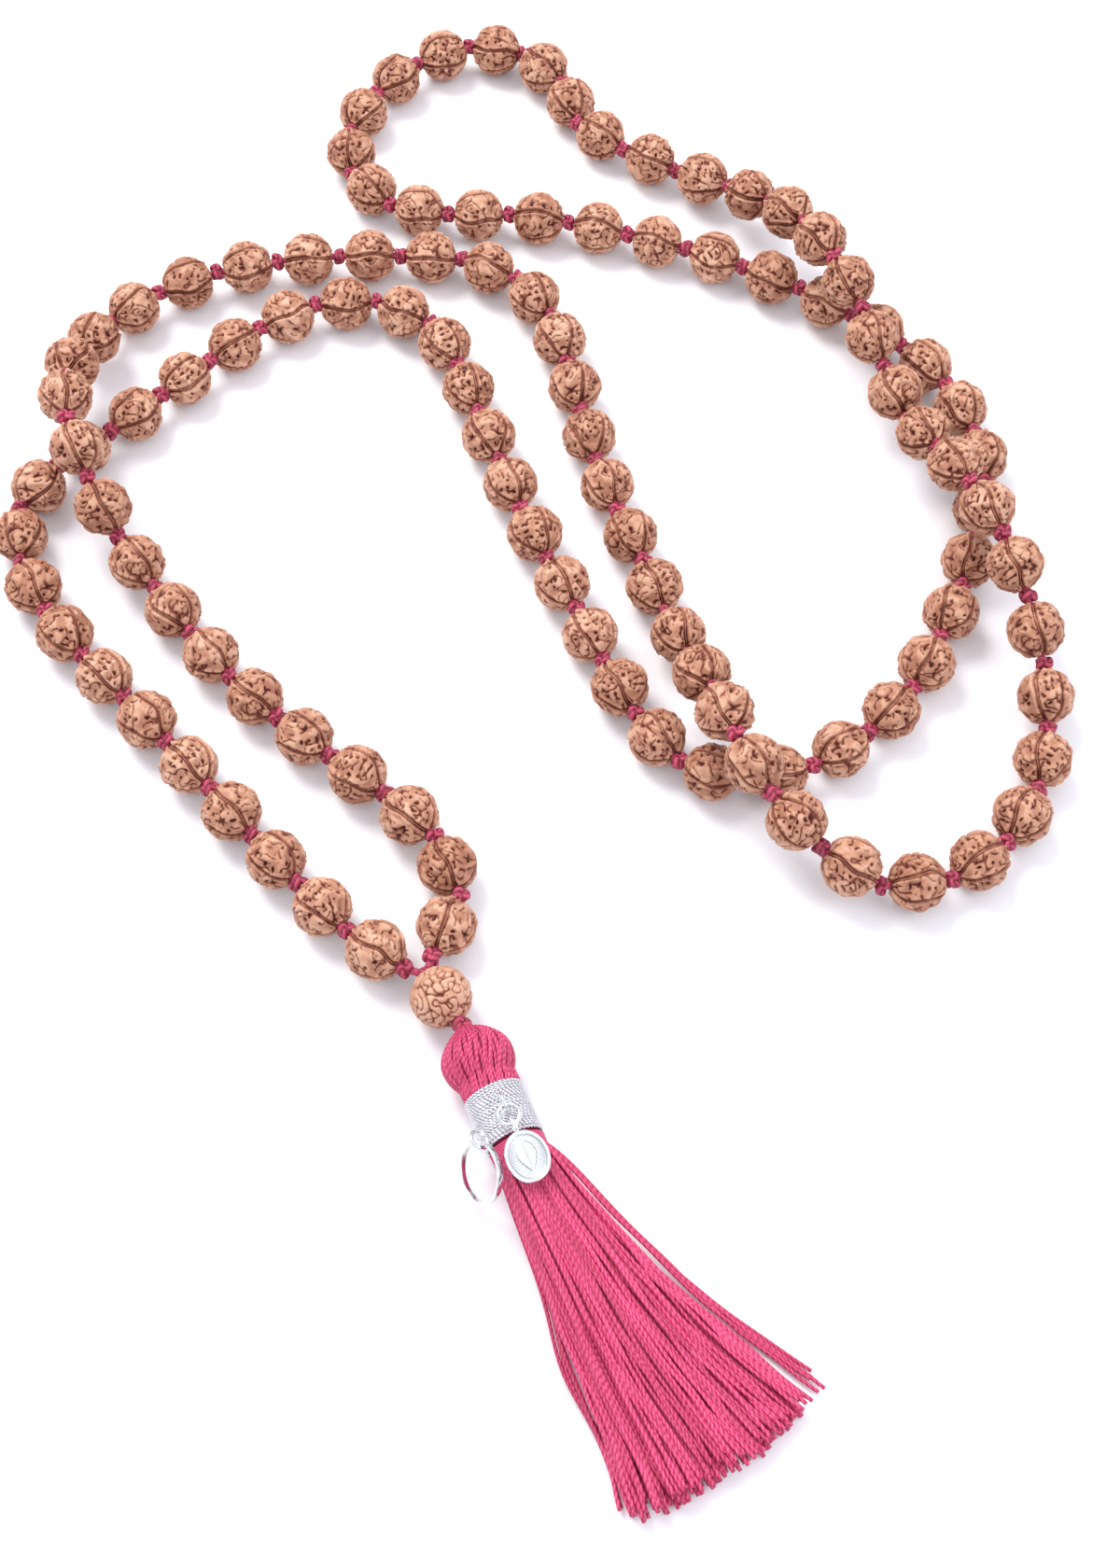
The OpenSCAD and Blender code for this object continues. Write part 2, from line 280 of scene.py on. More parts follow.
def math_node(nodes, link, operation, *values):
    """A Math node on sockets or plain numbers."""
    node = nodes.new("ShaderNodeMath")
    node.operation = operation
    for socket, value in zip(node.inputs, values):
        if isinstance(value, (int, float)):
            socket.default_value = value
        else:
            link(value, socket)
    return node.outputs["Value"]


def ply_group():
    """Shared node group: the plies of a twisted thread, from where a point lies round and along it."""
    group, source, sink = effect_group("twisted_ply", Depth=0.5, Fuzz=0.3)
    nodes, link = group.nodes, group.links.new
    read = {}
    for name in ("round_cos", "round_sin", "twist"):
        node = nodes.new("ShaderNodeAttribute")
        node.attribute_name = name
        read[name] = node.outputs["Fac"]
    first = math_node(nodes, link, "MULTIPLY", read["round_cos"],
                      math_node(nodes, link, "COSINE", read["twist"]))
    second = math_node(nodes, link, "MULTIPLY", read["round_sin"],
                       math_node(nodes, link, "SINE", read["twist"]))
    wave = math_node(nodes, link, "ADD", first, second)
    ply = math_node(nodes, link, "MULTIPLY_ADD", wave, 0.5, 0.5)
    coords = nodes.new("ShaderNodeTexCoord")
    noise = nodes.new("ShaderNodeTexNoise")
    noise.inputs["Scale"].default_value = 4200
    noise.inputs["Detail"].default_value = 4
    link(coords.outputs["Object"], noise.inputs["Vector"])
    fuzz = math_node(nodes, link, "SUBTRACT", noise.outputs["Fac"], 0.5)
    height = math_node(nodes, link, "MULTIPLY_ADD", fuzz, source.outputs["Fuzz"], ply)
    bump = nodes.new("ShaderNodeBump")
    bump.inputs["Distance"].default_value = 0.12 * MM
    link(source.outputs["Depth"], bump.inputs["Strength"])
    link(height, bump.inputs["Height"])
    link(height, sink.inputs["Value"])
    link(bump.outputs["Normal"], sink.inputs["Normal"])
    return group


GRAIN = grain_group()
PLY = ply_group()


class Shade:
    """One material, built up round its Principled shader."""

    def __init__(self, name, roughness, metallic=0.0, specular=0.5, sheen=0.0):
        self.material = bpy.data.materials.new(name)
        self.material.use_nodes = True
        self.nodes = self.material.node_tree.nodes
        self.link = self.material.node_tree.links.new
        self.shader = self.nodes["Principled BSDF"]
        for socket, value in (("Roughness", roughness), ("Metallic", metallic),
                              ("Specular IOR Level", specular), ("Sheen Weight", sheen)):
            self.shader.inputs[socket].default_value = value

    def attribute(self, name):
        node = self.nodes.new("ShaderNodeAttribute")
        node.attribute_name = name
        return node.outputs["Fac"]

    def ramp(self, value, stops):
        """Colours along a value, from (position, colour) stops."""
        node = self.nodes.new("ShaderNodeValToRGB")
        points = node.color_ramp.elements
        while len(points) < len(stops):
            points.new(1.0)
        for point, (position, colour) in zip(points, stops):
            point.position = position
            point.color = (*colour, 1)
        self.link(value, node.inputs["Fac"])
        return node.outputs["Color"]

    def between(self, value, low, high, to_low=0.0, to_high=1.0):
        """A value from low..high mapped to to_low..to_high."""
        node = self.nodes.new("ShaderNodeMapRange")
        ends = {"From Min": low, "From Max": high, "To Min": to_low, "To Max": to_high}
        for socket, number in ends.items():
            node.inputs[socket].default_value = number
        self.link(value, node.inputs["Value"])
        return node.outputs["Result"]

    def mixed(self, factor, first, second, mode="MIX"):
        """Two colours mixed. A factor may be a number or a socket, and so may a colour."""
        node = self.nodes.new("ShaderNodeMix")
        node.data_type = "RGBA"
        node.blend_type = mode
        sockets = node.inputs["Factor"], node.inputs[6], node.inputs[7]
        for socket, value in zip(sockets, (factor, first, second)):
            if isinstance(value, (int, float, tuple)):
                socket.default_value = value
            else:
                self.link(value, socket)
        return node.outputs[2]

    def effect(self, group, **values):
        """Places a shared node group and gives its value and its normal."""
        node = self.nodes.new("ShaderNodeGroup")
        node.node_tree = group
        for socket, value in values.items():
            node.inputs[socket].default_value = value
        return node.outputs["Value"], node.outputs["Normal"]

    def noise(self, scale, detail=2.0):
        coords = self.nodes.new("ShaderNodeTexCoord")
        node = self.nodes.new("ShaderNodeTexNoise")
        node.inputs["Scale"].default_value = scale
        node.inputs["Detail"].default_value = detail
        self.link(coords.outputs["Object"], node.inputs["Vector"])
        return node.outputs["Fac"]

    def math(self, operation, *values):
        return math_node(self.nodes, self.link, operation, *values)

    def set(self, socket, value):
        self.link(value, self.shader.inputs[socket])


# Seed colours along the carve level: the upper stops are the seed's own tan and red-brown, and the lowest
# stops add painted shade that takes crevices, clefts and the bore to near black.
SEED_TONES_AND_CREVICE_SHADE = [(0.0, (0.07, 0.014, 0.009)), (0.25, (0.20, 0.05, 0.03)), (0.5, (0.37, 0.15, 0.09)),
              (0.8, (0.55, 0.275, 0.175)), (1.0, (0.70, 0.41, 0.285))]
SEED_TINT = (0.84, 0.76, 0.72, 1)
THREAD_TINT = (0.66, 0.50, 0.55, 1)
SILVER_TONES = [(0.3, (0.66, 0.67, 0.69)), (0.6, (0.86, 0.86, 0.87))]
ENGRAVED_TONES = [(0.0, (0.42, 0.43, 0.46)), (0.45, (0.78, 0.79, 0.81)), (1.0, (0.93, 0.93, 0.94))]


def seed_material():
    """Carved seed: light tan skin, with dark red-brown in its crevices and pits, deepened there to near
    black as painted shade.
    """
    shade = Shade("seed", roughness=0.5, specular=0.35)
    carve_and_crevice_shade = shade.attribute("carve_and_crevice_shade")
    grain, normal = shade.effect(GRAIN, Scale=1500.0, Depth=0.45)
    crack = shade.math("ABSOLUTE", shade.math("SUBTRACT", shade.noise(1050, 1.0), 0.5))
    crack = shade.between(crack, 0.0, 0.03, 1.0, 0.0)
    broken = shade.between(shade.noise(520), 0.5, 0.62)
    cracked = shade.math("MULTIPLY", shade.math("MULTIPLY", crack, broken), -0.42)
    cloud = shade.between(shade.noise(330), 0.35, 0.65, -0.13, 0.05)
    level = shade.math("ADD", shade.math("ADD", carve_and_crevice_shade, cracked), cloud)
    level = shade.math("ADD", level, shade.between(grain, 0.3, 0.7, -0.08, 0.06))
    colour = shade.ramp(level, SEED_TONES_AND_CREVICE_SHADE)
    each = shade.nodes.new("ShaderNodeObjectInfo").outputs["Random"]
    darker = shade.mixed(1.0, colour, SEED_TINT, "MULTIPLY")
    shade.set("Base Color", shade.mixed(each, colour, darker))
    shade.set("Roughness", shade.between(carve_and_crevice_shade, 0, 1, 0.75, 0.44))
    shade.set("Normal", normal)
    return shade.material


def thread_material(name, dark, mid, light, roughness, sheen, metallic=0.0, depth=0.6):
    """Twisted thread: painted shade in the crease between its plies and a painted highlight along each
    ply's crown, and each thread a little different.
    """
    shade = Shade(name, roughness=roughness, metallic=metallic, sheen=sheen)
    shade.shader.inputs["Sheen Tint"].default_value = (*light, 1)
    shade.shader.inputs["Sheen Roughness"].default_value = 0.4
    ply, normal = shade.effect(PLY, Depth=depth, Fuzz=0.5)
    # Painted light from the ply value: the dark colour is painted shade in the creases, the light colour a
    # painted highlight on the crowns.
    colour = shade.ramp(ply, [(0.0, dark), (0.35, mid), (1.0, light)])
    shaded = shade.mixed(1.0, colour, THREAD_TINT, "MULTIPLY")
    shade.set("Base Color", shade.mixed(shade.attribute("strand"), colour, shaded))
    shade.set("Normal", normal)
    return shade.material


def silver_material():
    """Polished silver with a faint haze of handling marks."""
    shade = Shade("silver", roughness=0.16, metallic=1.0)
    grain, normal = shade.effect(GRAIN, Scale=900.0, Depth=0.06)
    shade.set("Base Color", shade.ramp(grain, SILVER_TONES))
    shade.set("Roughness", shade.between(grain, 0.3, 0.7, 0.1, 0.26))
    shade.set("Normal", normal)
    return shade.material


def engraved_silver_material():
    """Silver whose sunk field has darkened: the relief attribute is 0 in it and 1 on what is raised."""
    shade = Shade("engraved_silver", roughness=0.25, metallic=1.0)
    normal = shade.effect(GRAIN, Scale=2500.0, Depth=0.15)[1]
    relief = shade.attribute("relief")
    shade.set("Base Color", shade.ramp(relief, ENGRAVED_TONES))
    shade.set("Roughness", shade.between(relief, 0, 1, 0.4, 0.17))
    shade.set("Normal", normal)
    return shade.material


SEED = seed_material()
# Each thread's dark colour is painted crease shade and its light colour a painted highlight, which also
# tints the sheen.
CORD = thread_material(
    "cord", dark=(0.16, 0.008, 0.03), mid=(0.42, 0.04, 0.09), light=(0.56, 0.08, 0.15),
    roughness=0.6, sheen=0.2)
SILK = thread_material(
    "silk", dark=(0.42, 0.016, 0.085), mid=(0.70, 0.05, 0.17), light=(0.88, 0.13, 0.285),
    roughness=0.5, sheen=0.12, depth=0.45)
SILVER_THREAD = thread_material(
    "silver_thread", dark=(0.30, 0.30, 0.34), mid=(0.78, 0.80, 0.84), light=(0.95, 0.96, 0.98),
    roughness=0.28, sheen=0.0, metallic=0.9, depth=0.9)
SILVER = silver_material()
ENGRAVED = engraved_silver_material()

# ---------------------------------------------------------------- mesh helpers


def grid_faces(rows, columns, closed_rows=False, closed_columns=True):
    """Quads over a grid of points, which may join up along its rows, its columns or both."""
    row = np.arange(rows if closed_rows else rows - 1)
    column = np.arange(columns if closed_columns else columns - 1)
    i, j = (a.ravel() for a in np.meshgrid(row, column, indexing="ij"))
    i_next, j_next = (i + 1) % rows, (j + 1) % columns
    return np.column_stack([i * columns + j, i * columns + j_next,
                            i_next * columns + j_next, i_next * columns + j])


def as_faces(rows):
    """Rows of point numbers as the plain tuples that a mesh takes."""
    return [tuple(row) for row in rows.tolist()] if isinstance(rows, np.ndarray) else list(rows)


def make_mesh(name, points, faces, material, values=None):
    """A smooth-shaded mesh from points in millimetres, with float attributes on its points."""
    mesh = bpy.data.meshes.new(name)
    mesh.from_pydata((np.asarray(points) * MM).tolist(), [], as_faces(faces))
    mesh.shade_smooth()
    for key, data in (values or {}).items():
        layer = mesh.attributes.new(key, "FLOAT", "POINT")
        layer.data.foreach_set("value", np.asarray(data, np.float32).ravel())
    mesh.materials.append(material)
    return mesh


def add_piece(name, mesh, body, slot, *nodes, matrix=None):
    """Puts a mesh in the scene, riding on a body and standing for CAD nodes."""
    piece = bpy.data.objects.new(name, mesh)
    bpy.context.scene.collection.objects.link(piece)
    if matrix is not None:
        piece.matrix_world = matrix
    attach(piece, body)
    if nodes:
        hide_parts(*nodes)
    return piece


class Bundle:
    """Several threads gathered into one mesh."""

    def __init__(self):
        self.points, self.faces, self.count = [], [], 0
        self.values = {"round_cos": [], "round_sin": [], "twist": [], "strand": []}

    def thread(self, path, out, radius, strand, pitch=1.1, sides=8, start=0.0, relief=0.0, closed=False):
        """Adds a two-ply thread along path. out points away from what it lies on; radius may vary."""
        if closed:
            along = unit(np.roll(path, -1, 0) - np.roll(path, 1, 0))
        else:
            along = unit(np.gradient(path, axis=0))
        side = unit(out - (out * along).sum(1, keepdims=True) * along)
        across = np.cross(along, side)
        angle = np.arange(sides) / sides * TURN
        if closed:
            path, side, across = (np.vstack([rows, rows[:1]]) for rows in (path, side, across))
            pitch = run(path)[-1] / round(run(path)[-1] / pitch)
        twist = (TURN * run(path) / pitch + start)[:, None] + 0 * angle
        sunk = relief * (0.5 - 0.5 * np.cos(2 * angle - twist))
        reach = (np.broadcast_to(radius, len(path))[:, None] * (1 - sunk))[..., None]
        rings = path[:, None] + reach * (np.cos(angle)[None, :, None] * side[:, None]
                                         + np.sin(angle)[None, :, None] * across[:, None])
        self.faces.append(grid_faces(len(path), sides) + self.count)
        if not closed:
            fan = np.arange(sides // 2 - 1)[:, None]
            cap = np.hstack([fan, fan + 1, sides - 2 - fan, sides - 1 - fan]) + self.count
            self.faces += [cap[:, ::-1], cap + (len(path) - 1) * sides]
        self.points.append(rings.reshape(-1, 3))
        values = {"round_cos": np.cos(2 * angle) + 0 * twist, "round_sin": np.sin(2 * angle) + 0 * twist,
                  "twist": twist, "strand": strand + 0 * twist}
        for key, rows in values.items():
            self.values[key].append(rows.ravel())
        self.count += twist.size

    def mesh(self, name, material):
        values = {key: np.concatenate(rows) for key, rows in self.values.items()}
        points, faces = np.concatenate(self.points), np.concatenate(self.faces)
        return make_mesh(name, points, faces, material, values)


def moved(points, matrix):
    """Points taken through a 4x4 matrix."""
    m = np.array(matrix)
    return np.asarray(points) @ m[:3, :3].T + m[:3, 3]


# ---------------------------------------------------------------- carved seeds

CLEFTS = 5
SEED_KINDS = 10
SEED_AROUND, SEED_ALONG = 168, 84
SEED_RADIUS = 3.72
SEED_SIZES = (0.96, 1.0)
CREVICE_DEPTH, CLEFT_DEPTH, END_DIP = 0.34, 0.34, 0.12
CLEFT_JITTER = 0.13
BORE_ROWS = 5


def worm_waves(rng, wavelength, count=26):
    """Random waves of one length: where their sum passes 0 it draws a maze of winding lines."""
    direction = unit(rng.normal(size=(count, 3)))
    phase = rng.uniform(0, TURN, count)
    return lambda p: np.cos(p @ direction.T * TURN / wavelength + phase).sum(-1) * math.sqrt(2 / count)


def bell(x, width):
    return np.exp(-(x / width) ** 2)


def carved_relief(rng, polar, around, nominal):
    """Clefts from hole to hole, with short winding crevices and pits between them.

    Gives how far each point is raised, its bumps, and how much it is in a crevice, a cleft or a lip.
    """
    drift = worm_waves(rng, 5.0, 8)(nominal)
    cleft_at = (np.arange(CLEFTS) + rng.uniform(-CLEFT_JITTER, CLEFT_JITTER, CLEFTS)) * TURN / CLEFTS
    bend = 0.07 * np.sin(polar * rng.uniform(2, 4) + rng.uniform(0, TURN)) + 0.035 * drift
    turn_off = (around + bend - cleft_at[:, None, None] + math.pi) % TURN - math.pi
    off = np.abs(turn_off * np.sin(polar)).min(0) * BEAD_D / 2
    beside = 1 - bell(off, 0.55) ** 2
    winding = bell(worm_waves(rng, 1.75)(nominal + 0.2 * drift[..., None]), 0.34)
    broken = np.clip(0.62 + 1.1 * worm_waves(rng, 1.6)(nominal), 0, 1)
    pits = np.clip(-worm_waves(rng, 0.95)(nominal) - 1.1, 0, 0.6) / 0.6
    crevice = np.maximum(winding * broken, pits) * beside
    cleft = bell(off - 0.17, 0.11)
    lip = bell(off - 0.52, 0.24)
    lobe = np.clip(off / 2.0, 0, 1) ** 0.6
    bumps = np.tanh(1.5 * worm_waves(rng, 2.1)(nominal))
    raised = 0.12 * lobe + 0.12 * bumps * beside + 0.19 * lip - 0.10 * bell(off, 0.2)
    return raised, bumps, crevice, cleft, lip


def knobbly_relief(rng, nominal):
    """Small knobs all over with narrow crevices round them, given like a carved relief."""
    web = np.abs(worm_waves(rng, 1.3)(nominal))
    bumps = 2 * np.tanh(1.8 * web) - 1
    none = np.zeros_like(web)
    return 0.15 * bumps, bumps, 0.75 * bell(web, 0.26), none, none


def seed_mesh(name, rng, knobbly=False):
    """A bored seed about the z axis, carved with clefts or knobbly all over."""
    rim = math.asin(BORE_D / 2 / SEED_RADIUS)
    polar = np.linspace(rim, math.pi - rim, SEED_ALONG)[:, None]
    around = (np.arange(SEED_AROUND) / SEED_AROUND * TURN)[None, :]
    ray = np.stack(np.broadcast_arrays(np.sin(polar) * np.cos(around), np.sin(polar) * np.sin(around),
                                       np.cos(polar)), -1)
    nominal = ray * BEAD_D / 2
    relief = carved_relief(rng, polar, around, nominal)
    if knobbly:
        relief = knobbly_relief(rng, nominal)
    raised, bumps, crevice, cleft, lip = relief
    radius = SEED_RADIUS + raised - CREVICE_DEPTH * crevice - CLEFT_DEPTH * cleft
    radius = radius - END_DIP * np.cos(polar) ** 8
    seat_r, seat_at = KNOT_SEAT_D / 2, (BEAD_D + BEAD_GAP) / 2
    inside = seat_r ** 2 - (seat_at * np.sin(polar)) ** 2
    seat = seat_at * np.abs(np.cos(polar)) - np.sqrt(np.maximum(inside, 0))
    radius = np.where(inside > 0, np.minimum(radius, seat), radius)
    shell = ray * radius[..., None]
    depths = np.linspace(shell[-1, 0, 2], shell[0, 0, 2], BORE_ROWS + 2)[1:-1]
    tube = [np.column_stack([BORE_D / 2 * np.cos(around[0]), BORE_D / 2 * np.sin(around[0]),
                             np.full(SEED_AROUND, z)]) for z in depths]
    points = np.concatenate([shell.reshape(-1, 3), *tube])
    # Colour level: lighter on bumps and lips, lower in crevices and clefts, where the seed's own dark
    # red-brown is deepened with painted shade.
    level = np.clip(0.86 + 0.14 * bumps + 0.08 * lip - 0.78 * crevice - 0.74 * cleft, 0, 1)
    # The inside of the bore gets level 0, the darkest tone, as painted shade.
    level = np.concatenate([level.ravel(), np.zeros(SEED_AROUND * BORE_ROWS)])
    faces = grid_faces(SEED_ALONG + BORE_ROWS, SEED_AROUND, closed_rows=True)
    return make_mesh(name, points, faces[:, ::-1], SEED, {"carve_and_crevice_shade": level})


def facing(axis, spin):
    """Turn that stands the z axis along another axis and spins it."""
    return Vector(axis).to_track_quat("Z", "Y") @ Quaternion((0, 0, 1), spin)


def along_axis(centre, axis, spin, size=1.0):
    """Stands a mesh built about z at a place in millimetres, along an axis and turned about it."""
    turn = facing(axis, spin).to_matrix().to_4x4()
    return Matrix.Translation(Vector(centre) * MM) @ turn @ Matrix.Scale(size, 4)


def node_and_body(i):
    """CAD node and body of bead i."""
    if i <= SINGLE or i > BEADS - SINGLE:
        return f"bead_{i:03d}", f"bead_{i:03d}"
    first = SINGLE + 1 + (i - SINGLE - 1) // GROUP * GROUP
    return f"beads_{first:03d}_{first + GROUP - 1:03d}", "strand"


def add_seeds():
    """The 108 seeds between the knots, from a few carved kinds, and the knobbly guru seed."""
    rng = np.random.default_rng(7)
    kinds = [seed_mesh(f"seed_kind_{k + 1}", rng) for k in range(SEED_KINDS)]
    for i in range(1, BEADS + 1):
        a, b = KNOTS[i - 1], KNOTS[i]
        node, body = node_and_body(i)
        place = along_axis((a + b) / 2, b - a, rng.uniform(0, TURN), rng.uniform(*SEED_SIZES))
        add_piece(f"seed_{i:03d}", kinds[rng.integers(SEED_KINDS)], body, "seed", node, matrix=place)
    guru = along_axis(GURU, GURU_OUT, rng.uniform(0, TURN))
    knobs = seed_mesh("guru_kind", rng, knobbly=True)
    add_piece("guru_seed", knobs, "strand", "seed", "guru_bead", matrix=guru)


# ---------------------------------------------------------------- cord and knots

KNOT_R = 0.5
KNOT_STEPS = 110
LASHING_TURNS, LASHING_STEPS = 5.5, 260
LASHING_R, LASHING_THREAD_R = 0.75, 0.2
LASHING_FROM, LASHING_TO = -0.55, 0.95
CORE_STEPS, CORE_R = 24, 0.9
CORE_FROM, CORE_TO = -0.7, 8.2


def tie_knot(bundle, rng, place, axis):
    """Adds a tight overhand knot in two-ply cord, about an axis."""
    t = np.arange(KNOT_STEPS) / KNOT_STEPS * TURN
    wide, tall = 0.30 * rng.uniform(0.9, 1.08), 0.43 * rng.uniform(0.88, 1.15)
    path = np.column_stack([wide * (np.sin(t) + 2 * np.sin(2 * t)),
                            wide * (np.cos(t) - 2 * np.cos(2 * t)), -tall * np.sin(3 * t)])
    path = path @ np.array(facing(axis, rng.uniform(0, TURN)).to_matrix()).T
    bundle.thread(path + place, path + 1e-3, KNOT_R, rng.uniform(0, 0.8), pitch=1.0, sides=12,
                  relief=0.15, closed=True)


def add_knots():
    """The knots in the stringing cord as one piece, and the knot that ties the tassel on."""
    rng = np.random.default_rng(11)
    between, tie = Bundle(), Bundle()
    for i, place in enumerate(KNOTS):
        tie_knot(between, rng, place, KNOTS[min(i + 1, BEADS)] - KNOTS[max(i - 1, 0)])
    tie_knot(tie, rng, TIE, GURU_OUT)
    add_piece("tie_knot", tie.mesh("tie_knot", CORD), "tie", "cord", "tassel_tie")
    return add_piece("cord_knots", between.mesh("cord_knots", CORD), "strand", "cord", "knots")


def add_cord():
    """The stringing cord, as one curve from the guru bead through every seed and back to it."""
    curve = bpy.data.curves.new("cord", "CURVE")
    curve.dimensions = "3D"
    curve.bevel_depth = CORD_D / 2 * MM
    curve.bevel_resolution = 3
    curve.use_fill_caps = True
    line = curve.splines.new("POLY")
    line.points.add(len(CORD_LINE) - 1)
    for point, place in zip(line.points, CORD_LINE):
        point.co = (*(place * MM), 1)
    curve.materials.append(CORD)
    return add_piece("stringing_cord", curve, "strand", "cord", "cord")


def add_lashing():
    """The cord's two ends, run together through the guru bead and lashed in its mouth."""
    bundle = Bundle()
    turns = np.linspace(0, LASHING_TURNS * TURN, LASHING_STEPS)
    reach = LASHING_R + 0.16 * np.sin(turns / (2 * LASHING_TURNS))
    height = np.linspace(LASHING_FROM, LASHING_TO, LASHING_STEPS)
    around = np.column_stack([reach * np.cos(turns), reach * np.sin(turns), height])
    bundle.thread(around, around * (1, 1, 0), LASHING_THREAD_R, 0.3, pitch=0.5)
    height = np.linspace(CORE_FROM, CORE_TO, CORE_STEPS)
    core = np.column_stack([0 * height, 0 * height, height])
    bundle.thread(core, np.tile([1.0, 0, 0], (CORE_STEPS, 1)), CORE_R, 0.5, pitch=1.5, sides=16)
    add_piece("cord_lashing", bundle.mesh("cord_lashing", CORD), "strand", "cord", "cord_ends",
              matrix=along_axis(JOINT, GURU_OUT, 0))


# ---------------------------------------------------------------- tassel

TASSEL = Matrix.Translation((TIE[0], TIE[1], 0)) @ Matrix.Rotation(TASSEL_HEADING, 4, "Z")
AXIS = TASSEL @ Matrix.Translation((0, 0, AXIS_Z))

HEAD_THREADS, HEAD_THREAD_R, HEAD_STEPS = 84, 0.235, 90
HEAD_SWIRL = 0.32
HEAD_CORE_STEPS, HEAD_CORE_INSET = 60, 0.4

WRAP_THREAD_R, WRAP_PITCH = 0.23, 0.36
BINDING_THREAD_R, BINDING_PITCH = 0.16, 0.27

SKIRT_LAYERS = (0.02, 0.28, 0.54, 0.8, 1.0)
SKIRT_THREADS, SKIRT_STEPS = 60, 90
SKIRT_THREAD_R, STRAY_R = 0.20, 0.23
SKIRT_WAVES, SKIRT_SWING = (1.0, 2.3, 4.1), 0.34
CLUMP, CLUMP_DRAW = 6, 0.3

# A stray's side, how far off the skirt it lies, and the angle by which its end lies off
STRAYS = ((1, 0.8, 0.050), (1, 1.1, 0.060), (1, 1.4, 0.055), (1, 1.0, 0.066), (1, 0.7, 0.071),
          (-1, 1.2, 0.0), (-1, 1.7, 0.008))


def round_axis(x, radius, angle):
    """Points at a distance round the tassel's axis, which is x here."""
    return np.column_stack(np.broadcast_arrays(x, radius * np.cos(angle), radius * np.sin(angle)))


def lay_thread(bundle, path, radius, strand, **twist):
    """Adds a thread that lies round the tassel's axis and faces outward from it."""
    out = path * (0, 1, 1) @ np.array(AXIS)[:3, :3].T
    bundle.thread(moved(path, AXIS), out, radius, strand, **twist)


def hang_thread(bundle, path, radius, strand, **twist):
    """Adds a thread of the skirt, which lies on the table and faces up."""
    up = np.tile([0, 0, 1.0], (len(path), 1))
    bundle.thread(moved(path, TASSEL), up, radius, strand, **twist)


def head_profile(x):
    """Radius of the gathered head: drawn in at the tie, round below it, and in again at the wrap."""
    start = BEAD_GAP / 2 - 0.3
    rising = HEAD_D / 2 * np.sin(np.clip((x - start) / (HEAD_X - start), 0, 1) ** 0.85 * math.pi / 2)
    falling = np.sqrt(np.maximum((HEAD_D / 2) ** 2 - np.maximum(x - HEAD_X, 0) ** 2, COLLAR_R ** 2))
    return np.maximum(np.minimum(rising, falling), 0.6)


def lathe(profile, sides=48):
    """Points and faces of a surface of revolution about the tassel's axis, from (x, radius) rows."""
    angle = np.arange(sides) / sides * TURN
    rows = [round_axis(x, max(r, 0.01), angle) for x, r in profile]
    return moved(np.concatenate(rows), AXIS), grid_faces(len(profile), sides)


def add_head():
    """The silk gathered over its core, swirled a little from the tie to the wrap."""
    rng = np.random.default_rng(3)
    x = np.linspace(BEAD_GAP / 2 - 0.1, WRAP_X + 0.4, HEAD_STEPS)
    reach = head_profile(x)
    radius = np.clip(reach * TURN / HEAD_THREADS * 0.70, 0.08, HEAD_THREAD_R)
    bundle = Bundle()
    for k in range(HEAD_THREADS):
        lag = rng.uniform(-0.25, 0.25)
        swirl = HEAD_SWIRL * (x - HEAD_X) / HEAD_X + 0.05 * np.sin(x * 0.8 + rng.uniform(0, TURN))
        angle = (k + lag) / HEAD_THREADS * TURN + swirl
        path = round_axis(x, reach - radius + rng.uniform(-0.1, 0.06), angle)
        lay_thread(bundle, path, radius, rng.uniform(),
                   pitch=rng.uniform(0.65, 0.85), start=rng.uniform(0, TURN))
    add_piece("head_threads", bundle.mesh("head_threads", SILK), "tassel", "silk", "tassel_head")
    points, faces = lathe([(at, head_profile(at) - HEAD_CORE_INSET if at < WRAP_X else NECK_D / 2)
                           for at in np.linspace(BEAD_GAP / 2, SKIRT_X, HEAD_CORE_STEPS)])
    # The core is painted the silk's darkest crease colour, darkened further by the thread tint, as painted
    # shade where it shows between the head threads.
    shaded = {"round_cos": -1.0, "round_sin": 0.0, "twist": 0.0, "strand": 1.0}
    values = {key: np.full(len(points), value) for key, value in shaded.items()}
    add_piece("head_core", make_mesh("head_core", points, faces, SILK, values), "tassel", "silk")


def add_winding(name, x, length, reach, thread_r, pitch, material, slot, node, rng, wander):
    """A thread wound round the neck at a pitch, with the small slips of a hand winding."""
    turns = length / pitch
    t = np.linspace(0, 1, int(turns * 90))
    slip = wander * np.interp(t * turns, np.arange(int(turns) + 2), rng.uniform(-1, 1, int(turns) + 2))
    at = x + thread_r + t * (length - 2 * thread_r) + slip * 0.5 * pitch * np.sin(t * turns * TURN)
    radius = reach(t) - thread_r + 0.04 * slip
    path = round_axis(at, radius, -t * turns * TURN)
    bundle = Bundle()
    lay_thread(bundle, path, thread_r, 0.2, pitch=2.2 * thread_r)
    add_piece(name, bundle.mesh(name, material), "tassel", slot, node)


def add_windings():
    """The silver wrap and the crimson binding below it."""
    rng = np.random.default_rng(5)
    add_winding("silver_winding", WRAP_X, WRAP_LEN, lambda t: WRAP_D / 2 - 0.02 - 0.12 * t,
                WRAP_THREAD_R, WRAP_PITCH, SILVER_THREAD, "silver", "silver_wrap", rng, 0.5)
    add_winding("crimson_winding", BINDING_X, BINDING_LEN, lambda t: BINDING_D / 2 - 0.1 * t,
                BINDING_THREAD_R, BINDING_PITCH, SILK, "silk", "thread_binding", rng, 0.4)


